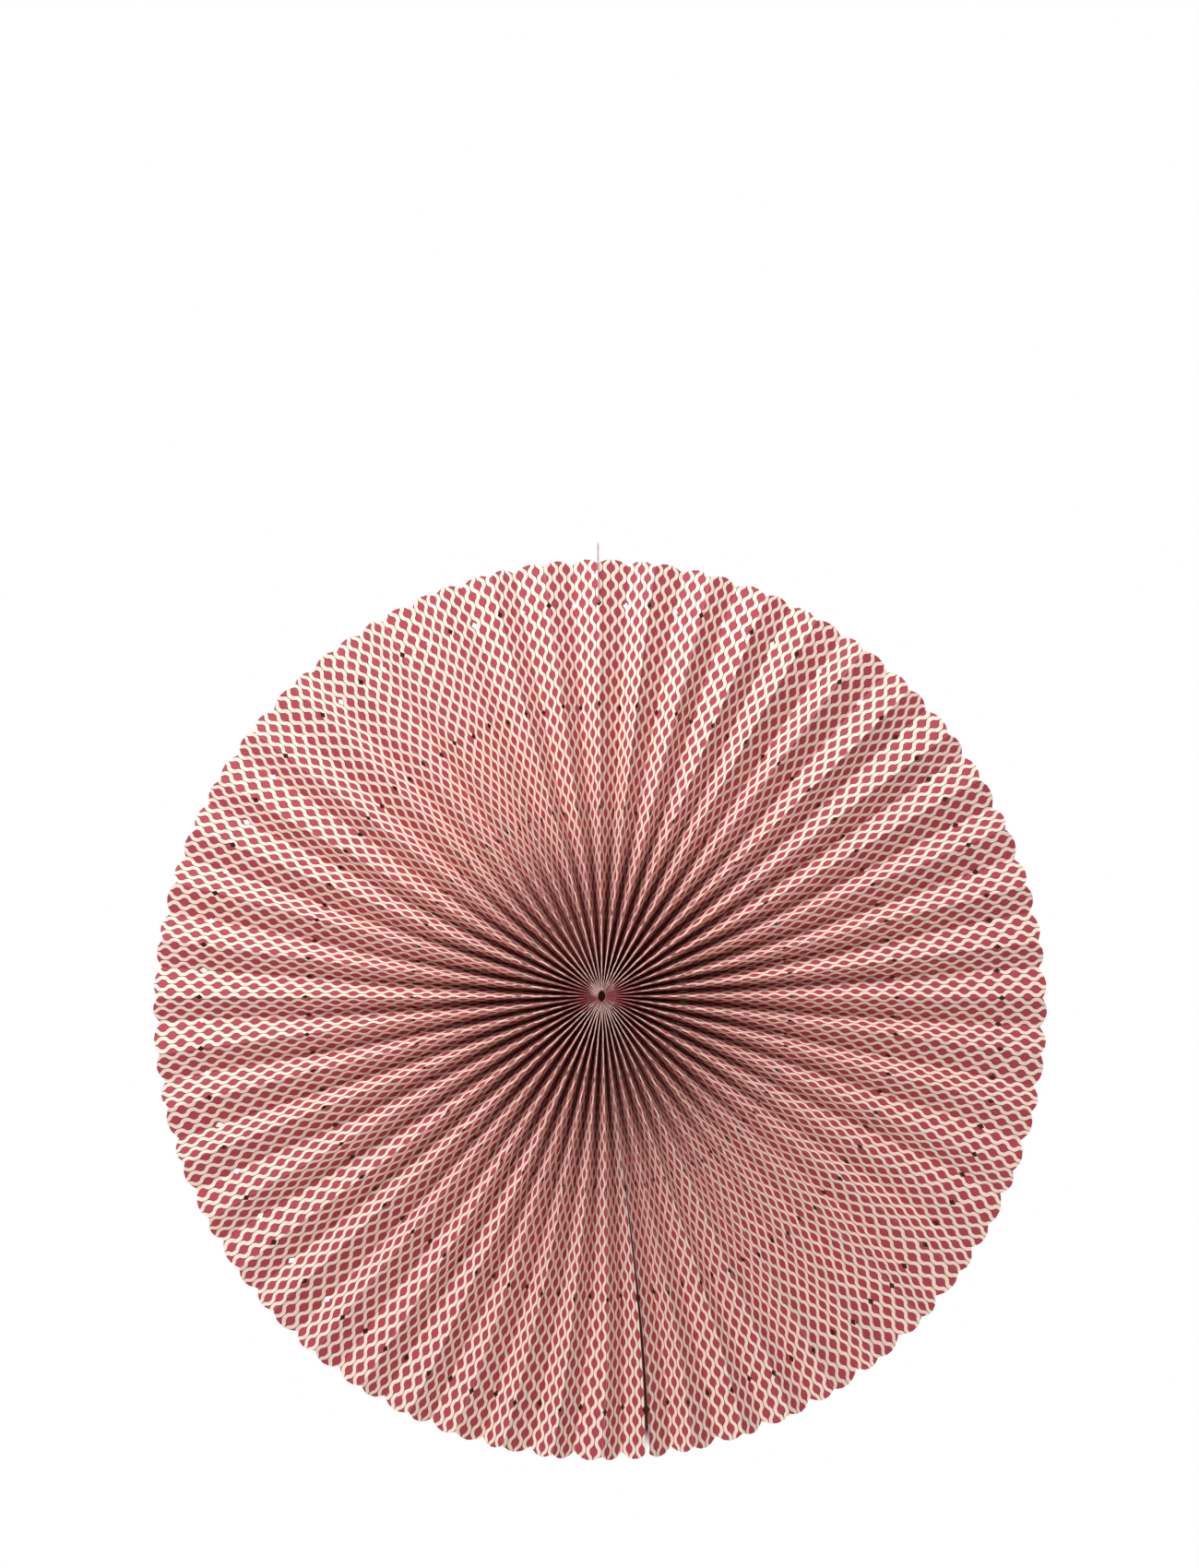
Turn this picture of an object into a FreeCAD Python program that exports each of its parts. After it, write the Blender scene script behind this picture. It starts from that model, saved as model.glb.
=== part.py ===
# Paper fan rosette, modelled in millimetres.
#
# A long strip of printed paper, made of two sheets lapped and glued, is folded into narrow
# panels and gathered round into a disc. The disc stands in the XZ plane with its hub at the
# origin and its front towards -Y. Bearings run clockwise from the top, seen from the front.
# Even folds are ridges that point to the front, and odd folds are valleys. Fold 0 and the
# last fold are the two raw edges, which face each other at the open seam.
import FreeCAD, Part
import math
import os

os.makedirs("parts", exist_ok=True)

# Driving sizes, in millimetres, degrees and counts
DRIVING_SIZES = [
    ("fan_radius", 300),           # hub centre to the scallop tips
    ("panel_count", 100),          # flat panels all the way round
    ("long_panels", 67),           # panels of the long sheet, seam to lap joint
    ("paper_thickness", 0.12),
    ("rim_pleat_depth", 5),        # front to back at the rim, at the widest panels
    ("scallop_depth", 4),         # scallop tip to the fold's notch
    ("hub_radius", 4),             # inner ends of the panels
    ("dimple_radius", 14),         # the ridges sink towards the hub inside this
    ("dimple_depth", 3.5),
    ("seam_bearing", 173.4),
    ("seam_gap", 2.6),             # opening between the raw edges at the rim
    ("seam_closed_radius", 60),    # the raw edges touch inside this
    ("rim_margin", 31.5),          # scallop tips to the outermost ring of holes
    ("ring_pitch", 71),            # from one ring of holes to the next
    ("hole_length", 5.4),          # diamond hole along its fold
    ("hole_width", 4.6),           # diamond hole across its fold, with the paper flat
    ("lap_width", 8),              # glue tab of the long sheet, behind the short one
    ("gather_radius", 9),          # ring of notches for the gathering thread
    ("gather_notch_length", 2.2),
    ("gather_notch_depth", 1.6),
    ("gather_thread_width", 0.6),
    ("thread_diameter", 0.8),      # hanging thread
    ("knot_width", 2.4),
]

document = FreeCAD.newDocument("paper_fan_rosette")
sheet = document.addObject("Spreadsheet::Sheet", "sizes")
for row, (alias, size) in enumerate(DRIVING_SIZES, start=1):
    sheet.set(f"A{row}", alias)
    sheet.set(f"B{row}", str(size))
    sheet.setAlias(f"B{row}", alias)
document.recompute()

fan_radius = float(sheet.fan_radius)
panel_count = int(sheet.panel_count)
long_panels = int(sheet.long_panels)
paper = float(sheet.paper_thickness)
hub_radius = float(sheet.hub_radius)
rim_radius = fan_radius - float(sheet.scallop_depth)

# The folds crowd together beside the seam and spread over the rest of the turn. Each
# strength is that of one cosine of the place round the turn.
CROWDING = (0.075, 0.045, 0.03, 0.025)
TOP_LEAN = 0.6          # degrees by which the far side of the turn lags
SEAM_LEAN = -0.4        # degrees by which the folds beside the seam lean at the hub
SEAM_SWEEP = 1.4        # degrees by which they bend back on their way to the rim
FOLD_WANDER = 0.25      # degrees by which hand-made folds miss their place
DEPTH_WANDER = 0.05     # share by which their depth varies

ARC_STEPS = 4           # straight edges along one scallop


def fold_pitch(fold):
    """Angle of one panel at a fold, in radians."""
    turn = 2 * math.pi * fold / panel_count
    crowding = sum(strength * math.cos(order * turn) for order, strength in enumerate(CROWDING, 1))
    return 2 * math.pi / panel_count * (1 - crowding)


def seam_opening(radius):
    """Distance between the two raw edges at a radius."""
    closed = float(sheet.seam_closed_radius)
    share = max(0.0, (radius - closed) / (fan_radius - closed))
    return float(sheet.seam_gap) * share


def seam_sway(turn, radius):
    """Degrees by which a fold beside the seam leaves its straight line."""
    beside = ((1 + math.cos(turn)) / 2) ** 8
    outwards = max(0.0, 2 * radius / fan_radius - 1)
    return beside * (SEAM_LEAN + SEAM_SWEEP * outwards ** 2)


def fold_bearing(fold, radius):
    """Bearing of a fold line, in radians."""
    share = fold / panel_count
    turn = 2 * math.pi * share
    crowding = sum(
        strength * math.sin(order * turn) / (2 * math.pi * order)
        for order, strength in enumerate(CROWDING, 1)
    )
    degrees = float(sheet.seam_bearing) + 360 * (share - crowding)
    degrees += seam_sway(turn, radius) - TOP_LEAN * (1 - math.cos(turn))
    if fold == 0:
        return math.radians(degrees) + seam_opening(radius) / 2 / radius
    if fold == panel_count:
        return math.radians(degrees) - seam_opening(radius) / 2 / radius
    degrees += FOLD_WANDER * math.sin(2.4 * fold)
    return math.radians(degrees)


# One panel's width in flat paper, from the widest panel at the rim
widest_pitch = max(fold_pitch(fold) for fold in range(panel_count + 1))
panel_width = math.hypot(fan_radius * widest_pitch, float(sheet.rim_pleat_depth))

ring_pitch = float(sheet.ring_pitch)
hole_half_length = float(sheet.hole_length) / 2
hole_half_width = float(sheet.hole_width) / 2
notch_half_length = float(sheet.gather_notch_length) / 2
gather_radius = float(sheet.gather_radius)
dimple_radius = float(sheet.dimple_radius)

# Rings of diamond holes, from the rim towards the hub
hole_rings = []
ring_radius = fan_radius - float(sheet.rim_margin)
while ring_radius - hole_half_length > dimple_radius:
    hole_rings.insert(0, ring_radius)
    ring_radius -= ring_pitch
lap_start = hole_rings[0] + hole_half_length


def paper_run(fold, radius):
    """Thickness of the sloping paper measured straight from front to back."""
    return paper * panel_width / (radius * fold_pitch(fold))


def fold_faces(fold, radius):
    """Y of the paper's front and back at a fold line."""
    depth = math.sqrt(panel_width ** 2 - (radius * fold_pitch(fold)) ** 2)
    depth *= 1 - DEPTH_WANDER * abs(math.sin(1.7 * fold)) * radius / fan_radius
    if fold % 2 == 1:
        back = depth / 2 + paper / 2
        return back - paper_run(fold, radius), back
    sunk = float(sheet.dimple_depth) * max(0.0, (dimple_radius - radius) / (dimple_radius - hub_radius))
    front = sunk - depth / 2 - paper / 2
    return front, front + paper_run(fold, radius)


def between(start, end, share):
    return start + (end - start) * share


def panel_place(fold, share, radius, lapped=False):
    """Bearing and front and back Y of a point part of the way from a fold to the next.

    The first panel of the short sheet is lapped: its raw edge lies in front of the long
    sheet's last fold by one thickness of paper.
    """
    front, back = fold_faces(fold, radius)
    if lapped and radius >= lap_start:
        front, back = front - paper_run(fold, radius), front
    next_front, next_back = fold_faces(fold + 1, radius)
    bearing = between(fold_bearing(fold, radius), fold_bearing(fold + 1, radius), share)
    return bearing, between(front, next_front, share), between(back, next_back, share)


def tab_place(share, radius):
    """The same for the glue tab, which lies against the back of the lapped panel."""
    bearing, front, back = panel_place(long_panels, share, radius, lapped=True)
    return bearing, back, back + paper_run(long_panels, radius)


def point_at(bearing, radius, y):
    return FreeCAD.Vector(radius * math.sin(bearing), y, radius * math.cos(bearing))


class PaperSkin:
    """Facets of a sheet's front; the back follows them one paper thickness behind."""

    def __init__(self):
        self.index = {}
        self.front = []
        self.back = []
        self.facets = []

    def corner(self, key, place, radius):
        if key not in self.index:
            bearing, front, back = place
            self.index[key] = len(self.front)
            self.front.append(point_at(bearing, radius, front))
            self.back.append(point_at(bearing, radius, back))
        return self.index[key]

    def strip(self, left, right, left_first):
        """Facets between two lines of (corner, radius), both running outwards."""
        i = j = 0
        while i < len(left) - 1 or j < len(right) - 1:
            if i == len(left) - 1:
                step_left = False
            elif j == len(right) - 1:
                step_left = True
            else:
                ahead = right[j + 1][1] - left[i + 1][1]
                step_left = ahead > 1e-6 or (abs(ahead) <= 1e-6 and left_first)
            if step_left:
                self.facets.append((left[i][0], right[j][0], left[i + 1][0]))
                i += 1
            else:
                self.facets.append((left[i][0], right[j][0], right[j + 1][0]))
                j += 1

    def solid(self):
        """Front, back and the cut edges between them, as one solid."""
        shift = len(self.front)
        facets = list(self.facets)
        facets += [(a + shift, c + shift, b + shift) for a, b, c in self.facets]
        edges = {(f[k], f[(k + 1) % 3]) for f in self.facets for k in range(3)}
        for a, b in sorted(edges):
            if (b, a) not in edges:
                facets.append((b, a, a + shift))
                facets.append((b, a + shift, b + shift))
        return solid_of_facets(self.front + self.back, facets)


def solid_of_facets(points, facets):
    shape = Part.Shape()
    shape.makeShapeFromMesh((points, facets), 1e-5)
    solid = Part.makeSolid(shape.Shells[0])
    if solid.Volume < 0:
        solid.reverse()
    return solid


def fold_stations(fold):
    """Radii along a fold line; each notch has its two ends and its tip between them."""
    notches = [(ring, hole_half_length, hole_half_width) for ring in hole_rings]
    if fold % 2 == 1:
        notches.insert(0, (gather_radius, notch_half_length, float(sheet.gather_notch_depth)))
        stations = [(hub_radius, 0.0)]
    else:
        stations = [(hub_radius, 0.0), (dimple_radius, 0.0)]
    for ring, half_length, inset in notches:
        stations += [(ring - half_length, 0.0), (ring, inset), (ring + half_length, 0.0)]
    return stations + [(rim_radius, 0.0)]


def fold_line(skin, panel, side, start=0.0, place=None):
    """Corners of a panel along its left (side 0) or right (side 1) fold."""
    line = []
    for radius, inset in fold_stations(panel + side):
        if radius >= start:
            share = abs(side - inset / panel_width)
            key = (panel + side, radius) if inset == 0 else (panel, side, radius)
            at = place(share, radius) if place else panel_place(panel, share, radius)
            line.append((skin.corner(key, at, radius), radius))
    return line


def lap_line(skin, place):
    """Corners along the glue tab's free edge, or on the lapped panel in front of it."""
    share = float(sheet.lap_width) / panel_width
    radii = [radius for radius, inset in fold_stations(long_panels) if inset == 0]
    return [
        (skin.corner(("lap", radius), place(share, radius), radius), radius)
        for radius in radii
        if place is not tab_place or radius >= lap_start
    ]


def scallop_tips(skin, panel, lapped=False):
    """Corners along the arc that ends a panel."""
    half = panel_width / 2
    depth = float(sheet.scallop_depth)
    arc_radius = (half ** 2 + depth ** 2) / (2 * depth)
    half_angle = math.asin(half / arc_radius)
    tips = []
    for step in range(1, ARC_STEPS):
        angle = half_angle * (2 * step / ARC_STEPS - 1)
        share = 0.5 + arc_radius * math.sin(angle) / panel_width
        radius = fan_radius - arc_radius * (1 - math.cos(angle))
        place = panel_place(panel, share, radius, lapped)
        tips.append(skin.corner((panel, "tip", step), place, radius))
    return tips


def close_rim(skin, ring, centre):
    """Facets from one corner of the rim's polygon to its other sides."""
    for a, b in zip(ring, ring[1:] + ring[:1]):
        if centre not in (a, b):
            skin.facets.append((a, b, centre))


def add_panel(skin, panel):
    left = fold_line(skin, panel, 0)
    right = fold_line(skin, panel, 1)
    skin.strip(left, right, left_first=panel % 2 == 0)
    tips = scallop_tips(skin, panel)
    close_rim(skin, [left[-1][0], right[-1][0]] + tips[::-1], tips[len(tips) // 2])


def lapped_place(share, radius):
    return panel_place(long_panels, share, radius, lapped=True)


def add_lapped_panel(skin):
    """First panel of the short sheet, split along the edge of the tab behind it."""
    left = fold_line(skin, long_panels, 0, place=lapped_place)
    middle = lap_line(skin, lapped_place)
    right = fold_line(skin, long_panels, 1, place=lapped_place)
    skin.strip(left, middle, left_first=False)
    skin.strip(middle, right, left_first=False)
    tips = scallop_tips(skin, long_panels, lapped=True)
    corners = [left[-1][0], middle[-1][0], right[-1][0]]
    close_rim(skin, corners + tips[::-1], middle[-1][0])


def add_glue_tab(skin):
    left = fold_line(skin, long_panels, 0, start=lap_start, place=tab_place)
    right = lap_line(skin, tab_place)
    skin.strip(left, right, left_first=False)


def long_sheet_solid():
    skin = PaperSkin()
    for panel in range(long_panels):
        add_panel(skin, panel)
    add_glue_tab(skin)
    return skin.solid()


def short_sheet_solid():
    skin = PaperSkin()
    add_lapped_panel(skin)
    for panel in range(long_panels + 1, panel_count):
        add_panel(skin, panel)
    return skin.solid()


def gathering_thread_solid():
    """Thread drawn round behind the hub, straight from each back fold's notch to the next."""
    half = float(sheet.gather_thread_width) / 2
    clearance = 0.15
    points = []
    for fold in range(1, panel_count, 2):
        bearing = fold_bearing(fold, gather_radius)
        y = fold_faces(fold, gather_radius)[1] - half - clearance
        for out, deep in ((-half, -half), (half, -half), (half, half), (-half, half)):
            points.append(point_at(bearing, gather_radius + out, y + deep))
    facets = []
    for corner in range(0, len(points), 4):
        following = (corner + 4) % len(points)
        for side in range(4):
            beside = (side + 1) % 4
            facets.append((corner + side, corner + beside, following + beside))
            facets.append((corner + side, following + beside, following + side))
    ring = solid_of_facets(points, facets)
    knot_width = 2.5 * half * 2
    knot_fold = panel_count // 2 + 1 - panel_count // 2 % 2
    centre = point_at(
        fold_bearing(knot_fold, gather_radius),
        gather_radius,
        fold_faces(knot_fold, gather_radius)[1] - clearance + knot_width / 2,
    )
    corner = centre - FreeCAD.Vector(1, 1, 1) * (knot_width / 2)
    return ring.fuse(Part.makeBox(knot_width, knot_width, knot_width, corner))


# The hanging thread starts at a knot behind a ridge, comes out through the outermost hole
# nearest the top, runs up the front, over in a loop and down the back to the knot again.
# Each point is (sideways, back, up) from the hole's upper corner on the ridge's front.
THREAD_ROUTE = [
    (0.0, 3.1, -1.1),
    (0.0, -2.1, -0.7),
    (0.2, -1.1, 7.8),
    (-0.1, -0.1, 21.3),
    (-0.3, 1.0, 32.3),
    (-0.2, 2.2, 38.3),
    (0.0, 6.0, 40.9),
    (0.2, 9.2, 37.5),
    (0.3, 9.6, 31.3),
    (0.1, 9.2, 21.8),
    (-0.1, 8.2, 12.3),
    (-0.1, 6.2, 5.9),
    (0.0, 4.3, 2.3),
    (0.0, 4.3, 0.1),
]
KNOT_CENTRE = (0.0, 4.3, -1.1)

hole_ridge = min(
    range(0, panel_count + 1, 2),
    key=lambda fold: abs(fold_bearing(fold, fan_radius) - 2 * math.pi),
)
corner_radius = hole_rings[-1] + hole_half_length
hole_corner = point_at(
    fold_bearing(hole_ridge, corner_radius), corner_radius, fold_faces(hole_ridge, corner_radius)[0]
)


def rounded_path(points):
    """Straight runs joined by tangent arcs, with the arcs' radii."""
    edges = []
    radii = []
    start = points[0]
    for before, corner, after in zip(points, points[1:], points[2:]):
        back = (before - corner).normalize()
        ahead = (after - corner).normalize()
        reach = 0.45 * min((before - corner).Length, (after - corner).Length)
        half_turn = (math.pi - back.getAngle(ahead)) / 2
        radius = reach / math.tan(half_turn)
        bisector = (back + ahead).normalize()
        middle = corner + bisector * (radius / math.cos(half_turn) - radius)
        first = corner + back * reach
        last = corner + ahead * reach
        edges.append(Part.LineSegment(start, first).toShape())
        edges.append(Part.Arc(first, middle, last).toShape())
        radii.append(radius)
        start = last
    edges.append(Part.LineSegment(start, points[-1]).toShape())
    return Part.Wire(edges), radii


def hanging_thread_solid():
    radius = float(sheet.thread_diameter) / 2
    points = [hole_corner + FreeCAD.Vector(*offset) for offset in THREAD_ROUTE]
    path, bends = rounded_path(points)
    ring = Part.Wire(Part.makeCircle(radius, points[0], points[1] - points[0]))
    tube = path.makePipeShell([ring], True, False)
    print("hanging thread length", round(path.Length, 1), "mm")
    print("bend radii", [round(bend, 2) for bend in bends])
    print("tube volume over section times length", tube.Volume / (math.pi * radius ** 2 * path.Length))
    return tube


def add_feature(name, shape):
    feature = document.addObject("Part::Feature", name)
    feature.Label = name
    feature.Shape = shape
    feature.Placement = FreeCAD.Placement()
    return feature


nodes = [
    add_feature("long_pleated_sheet", long_sheet_solid()),
    add_feature("short_pleated_sheet", short_sheet_solid()),
    add_feature("gathering_thread", gathering_thread_solid()),
    add_feature("hanging_thread", hanging_thread_solid()),
]

knot = document.addObject("Part::Box", "hanging_knot")
knot.Label = "hanging_knot"
for side in ("Length", "Width", "Height"):
    knot.setExpression(side, "sizes.knot_width")
half_knot = FreeCAD.Vector(1, 1, 1) * (float(sheet.knot_width) / 2)
knot.Placement.Base = hole_corner + FreeCAD.Vector(*KNOT_CENTRE) - half_knot
nodes.append(knot)

document.recompute()
for entry in document.Objects:
    if "Invalid" in entry.State or "Error" in entry.State:
        raise RuntimeError(f"{entry.Label} did not recompute: {entry.State}")
for node in nodes:
    if node.Shape.isNull() or not node.Shape.isValid():
        raise RuntimeError(f"{node.Label} has no valid shape")
    print(node.Label, len(node.Shape.Solids), "solid,", len(node.Shape.Faces), "faces,",
          round(node.Shape.Volume, 1), "mm3")
for node in nodes:
    node.Shape.exportStep(f"parts/{node.Label}.step")
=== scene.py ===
"""Paper fan rosette: a pleated disc of printed paper that hangs by a loop of thread."""
import math

import bpy
import numpy as np
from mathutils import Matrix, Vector


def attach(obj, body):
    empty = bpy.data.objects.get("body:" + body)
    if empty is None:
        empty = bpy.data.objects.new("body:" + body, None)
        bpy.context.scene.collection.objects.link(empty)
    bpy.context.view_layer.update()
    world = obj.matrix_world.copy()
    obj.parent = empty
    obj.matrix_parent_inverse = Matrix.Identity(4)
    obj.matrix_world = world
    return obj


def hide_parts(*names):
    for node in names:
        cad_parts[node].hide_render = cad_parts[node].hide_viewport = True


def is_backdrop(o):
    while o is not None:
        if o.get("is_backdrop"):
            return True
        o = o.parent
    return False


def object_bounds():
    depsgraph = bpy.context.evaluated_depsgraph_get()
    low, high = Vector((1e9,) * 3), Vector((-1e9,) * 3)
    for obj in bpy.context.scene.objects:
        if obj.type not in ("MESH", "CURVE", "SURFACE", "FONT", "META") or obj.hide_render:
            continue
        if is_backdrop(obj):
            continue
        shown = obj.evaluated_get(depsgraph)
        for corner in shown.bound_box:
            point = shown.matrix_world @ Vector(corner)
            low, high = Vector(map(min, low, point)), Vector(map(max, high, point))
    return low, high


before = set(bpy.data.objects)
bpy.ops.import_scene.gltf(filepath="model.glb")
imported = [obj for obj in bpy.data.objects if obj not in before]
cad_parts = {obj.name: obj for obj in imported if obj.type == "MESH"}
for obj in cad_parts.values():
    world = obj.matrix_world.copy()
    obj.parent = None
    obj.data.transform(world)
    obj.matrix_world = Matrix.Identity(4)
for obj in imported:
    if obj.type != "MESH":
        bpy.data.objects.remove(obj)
cad_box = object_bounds()
MM = 0.001

# The fan's construction in millimetres and degrees, as the frame was built
FAN_RADIUS = 300.0
PANEL_COUNT = 100
LONG_PANELS = 67
PAPER = 0.12
RIM_PLEAT_DEPTH = 5.0
SCALLOP_DEPTH = 4.0
HUB_RADIUS = 4.0
DIMPLE_RADIUS = 14.0
DIMPLE_DEPTH = 3.5
SEAM_BEARING = 173.4
SEAM_GAP = 2.6
SEAM_CLOSED_RADIUS = 60.0
HOLE_RINGS = (55.5, 126.5, 197.5, 268.5)
HOLE_HALF_LENGTH = 2.7
HOLE_HALF_WIDTH = 2.3
LAP_WIDTH = 8.0
GATHER_RADIUS = 9.0
GATHER_NOTCH_HALF_LENGTH = 1.1
GATHER_NOTCH_DEPTH = 1.6
THREAD_DIAMETER = 0.8
CROWDING = (0.075, 0.045, 0.03, 0.025)
TOP_LEAN = 0.6
SEAM_LEAN = -0.4
SEAM_SWEEP = 1.4
FOLD_WANDER = 0.25
WANDER_TURN = 2.4                # radians from one fold to the next
DEPTH_WANDER = 0.05
DEPTH_TURN = 1.7
RIM_RADIUS = FAN_RADIUS - SCALLOP_DEPTH
LAP_START = HOLE_RINGS[0] + HOLE_HALF_LENGTH


# Camera

PIXEL_LENS = 1908.0              # focal length in pixels of the photograph
PICTURE_HEIGHT = 1700.0
SENSOR_WIDTH = 36.0
CAMERA_PLACE = Vector((-0.020, -1.19, 0.0))
CAMERA_PITCH = 6.87              # degrees upwards
CAMERA_YAW = 0.89                # degrees to the right


def add_camera():
    data = bpy.data.cameras.new("camera")
    data.sensor_width = SENSOR_WIDTH
    data.lens = SENSOR_WIDTH * PIXEL_LENS / PICTURE_HEIGHT
    camera = bpy.data.objects.new("camera", data)
    camera.location = CAMERA_PLACE
    camera.rotation_euler = (math.radians(90 + CAMERA_PITCH), 0, math.radians(-CAMERA_YAW))
    bpy.context.collection.objects.link(camera)
    bpy.context.scene.camera = camera


# Pleats

def smooth_step(low, high, value):
    """0 below low, 1 above high, smooth between."""
    share = np.clip((value - low) / (high - low), 0.0, 1.0)
    return share * share * (3 - 2 * share)


def fold_pitch(fold):
    """Angle of one panel at a fold, in radians."""
    turn = 2 * math.pi * fold / PANEL_COUNT
    crowding = sum(strength * math.cos(order * turn) for order, strength in enumerate(CROWDING, 1))
    return 2 * math.pi / PANEL_COUNT * (1 - crowding)


PANEL_WIDTH = math.hypot(
    FAN_RADIUS * max(fold_pitch(fold) for fold in range(PANEL_COUNT + 1)), RIM_PLEAT_DEPTH
)


def seam_sway(turn, radius):
    """Degrees by which a fold beside the seam leaves its straight line."""
    beside = ((1 + math.cos(turn)) / 2) ** 8
    outwards = np.clip(2 * radius / FAN_RADIUS - 1, 0, None)
    return beside * (SEAM_LEAN + SEAM_SWEEP * outwards ** 2)


def straight_bearing(fold, radius):
    """Bearing of a fold line before its waviness, in degrees, clockwise from the top."""
    share = fold / PANEL_COUNT
    turn = 2 * math.pi * share
    crowding = sum(
        strength * math.sin(order * turn) / (2 * math.pi * order)
        for order, strength in enumerate(CROWDING, 1)
    )
    degrees = SEAM_BEARING + 360 * (share - crowding) + seam_sway(turn, radius)
    if 0 < fold < PANEL_COUNT:
        degrees = degrees + FOLD_WANDER * math.sin(WANDER_TURN * fold)
    return degrees - TOP_LEAN * (1 - math.cos(turn))


# Waves along the radius: size, length over 2 pi, and shift from one fold or panel to the next
FOLD_WAVES = ((0.3, 43.0, 2.1), (0.15, 17.0, 5.3))
WAVES_GROW = (15, 90)            # radii between which they reach their size
CRUMPLE_WAVE = (0.22, 3.4, 1.7)  # the folds just below the hub are crumpled
CRUMPLE_GROWS = (6, 12)
CRUMPLE_FADES = (25, 45)
BOW_WAVE = (0.6, 31.0, 1.9)
BOW_TURN = 3.7
BOW_GROWS = (25, 120)
BOW = 0.16                       # how far the middle of a panel stands proud of flat


def wave(number, radius, size, length, shift):
    return size * np.sin(radius / length + shift * number)


def fold_bearing(fold, radius):
    """Bearing of a fold line at each radius, in radians."""
    degrees = straight_bearing(fold, radius)
    opening = SEAM_GAP * np.clip(
        (radius - SEAM_CLOSED_RADIUS) / (FAN_RADIUS - SEAM_CLOSED_RADIUS), 0, None
    )
    if fold == 0:
        return np.radians(degrees) + opening / 2 / radius
    if fold == PANEL_COUNT:
        return np.radians(degrees) - opening / 2 / radius
    sway = sum(wave(fold, radius, *settings) for settings in FOLD_WAVES)
    sway = sway * smooth_step(*WAVES_GROW, radius)
    below = max(0.0, -math.cos(math.radians(float(straight_bearing(fold, HUB_RADIUS))))) ** 6
    crumple = wave(fold, radius, *CRUMPLE_WAVE) * below
    crumple = crumple * smooth_step(*CRUMPLE_GROWS, radius)
    sway = sway + crumple * (1 - smooth_step(*CRUMPLE_FADES, radius))
    return np.radians(degrees) + sway / radius


def fold_depth(fold, radius):
    """Front to back of the pleats at a fold line."""
    depth = np.sqrt(PANEL_WIDTH ** 2 - (radius * fold_pitch(fold)) ** 2)
    return depth * (1 - DEPTH_WANDER * abs(math.sin(DEPTH_TURN * fold)) * radius / FAN_RADIUS)


FOLD_MID_RADIUS = 0.1            # bend of the paper's middle at a fold
SLACK_RADIUS = 0.1               # added to it where the folds crowd round the hub
SLACK_FADES = (40, 120)
MOST_BEND = 0.3                  # share of a panel's width across that a bend may take
MOST_PAPER = 0.6                 # share of a bend that half the paper may take
PRESSED_FROM = 4.5
PRESSED_SIDEWAYS = 34.0          # the pleats are pressed flat beside the hub's hole, and less
PRESSED_UP = 7.0                 # above and below it
PRESSED_DEPTH = 0.5


def panel_surface(panel, along, radius, behind, lift=0.0):
    """Points of a panel's front or back, where along is measured in flat paper from its first fold.

    The paper runs straight between two small bends: round the front of the ridge and round
    the back of the valley. lift moves the paper towards the front, square to itself.
    """
    ridge_first = panel % 2 == 0
    ridge, valley = (panel, panel + 1) if ridge_first else (panel + 1, panel)
    side = 1.0 if ridge_first else -1.0
    from_ridge = along if ridge_first else PANEL_WIDTH - along
    ridge_bearing = fold_bearing(ridge, radius)
    across = np.abs(fold_bearing(valley, radius) - ridge_bearing) * radius

    bend = FOLD_MID_RADIUS + SLACK_RADIUS * (1 - smooth_step(*SLACK_FADES, radius))
    bend = np.minimum(bend, MOST_BEND * across)
    half_paper = np.minimum(PAPER / 2, MOST_PAPER * bend)
    sunk = DIMPLE_DEPTH * np.clip((DIMPLE_RADIUS - radius) / (DIMPLE_RADIUS - HUB_RADIUS), 0, 1)
    ridge_y = sunk - fold_depth(ridge, radius) / 2 - PAPER / 2 + bend + half_paper
    valley_y = fold_depth(valley, radius) / 2 + PAPER / 2 - bend - half_paper
    if not behind:
        sideways = np.abs(np.sin(ridge_bearing)) ** 2
        pressed_to = PRESSED_UP + (PRESSED_SIDEWAYS - PRESSED_UP) * sideways
        pressed = 1 - smooth_step(PRESSED_FROM, pressed_to, radius)
        valley_y = valley_y + (ridge_y + PRESSED_DEPTH - valley_y) * pressed
    deep = valley_y - ridge_y
    reach = np.hypot(across, deep)
    turned = np.arctan2(across, deep) - np.arcsin(2 * bend / reach)
    straight = np.sqrt(reach ** 2 - 4 * bend ** 2)
    arc = bend * (math.pi / 2 - turned)

    place = from_ridge / PANEL_WIDTH * (straight + 2 * arc)
    outer, inner = bend + half_paper, bend - half_paper
    ridge_bend, valley_bend = (inner, outer) if behind else (outer, inner)
    run = np.clip(place - arc, 0, straight)
    bow = np.sin(math.pi * run / straight) * panel_bow(panel, radius) + lift
    east = ridge_bend * np.cos(turned) + run * np.sin(turned) + bow * np.cos(turned)
    back = ridge_y - ridge_bend * np.sin(turned) + run * np.cos(turned) - bow * np.sin(turned)

    angle = place / bend
    on_ridge = place < arc
    east = np.where(on_ridge, ridge_bend * np.sin(angle), east)
    back = np.where(on_ridge, ridge_y - ridge_bend * np.cos(angle), back)
    angle = (straight + 2 * arc - place) / bend
    on_valley = place > arc + straight
    east = np.where(on_valley, across - valley_bend * np.sin(angle), east)
    back = np.where(on_valley, valley_y + valley_bend * np.cos(angle), back)

    bearing = ridge_bearing + side * east / radius
    return np.stack([radius * np.sin(bearing), back, radius * np.cos(bearing)], axis=-1)


def panel_bow(panel, radius):
    """How far the middle of a panel stands proud of flat."""
    share = math.sin(BOW_TURN * panel) + wave(panel, radius, *BOW_WAVE)
    return BOW * share * smooth_step(*BOW_GROWS, radius)


HUB_ROWS = (5.0, 6.2, 7.1, 11.0, 12.5)   # rows of corners round the hub, beside the notches
ROW_SPACING = 7.0                # about one row to the next, farther out


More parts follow.
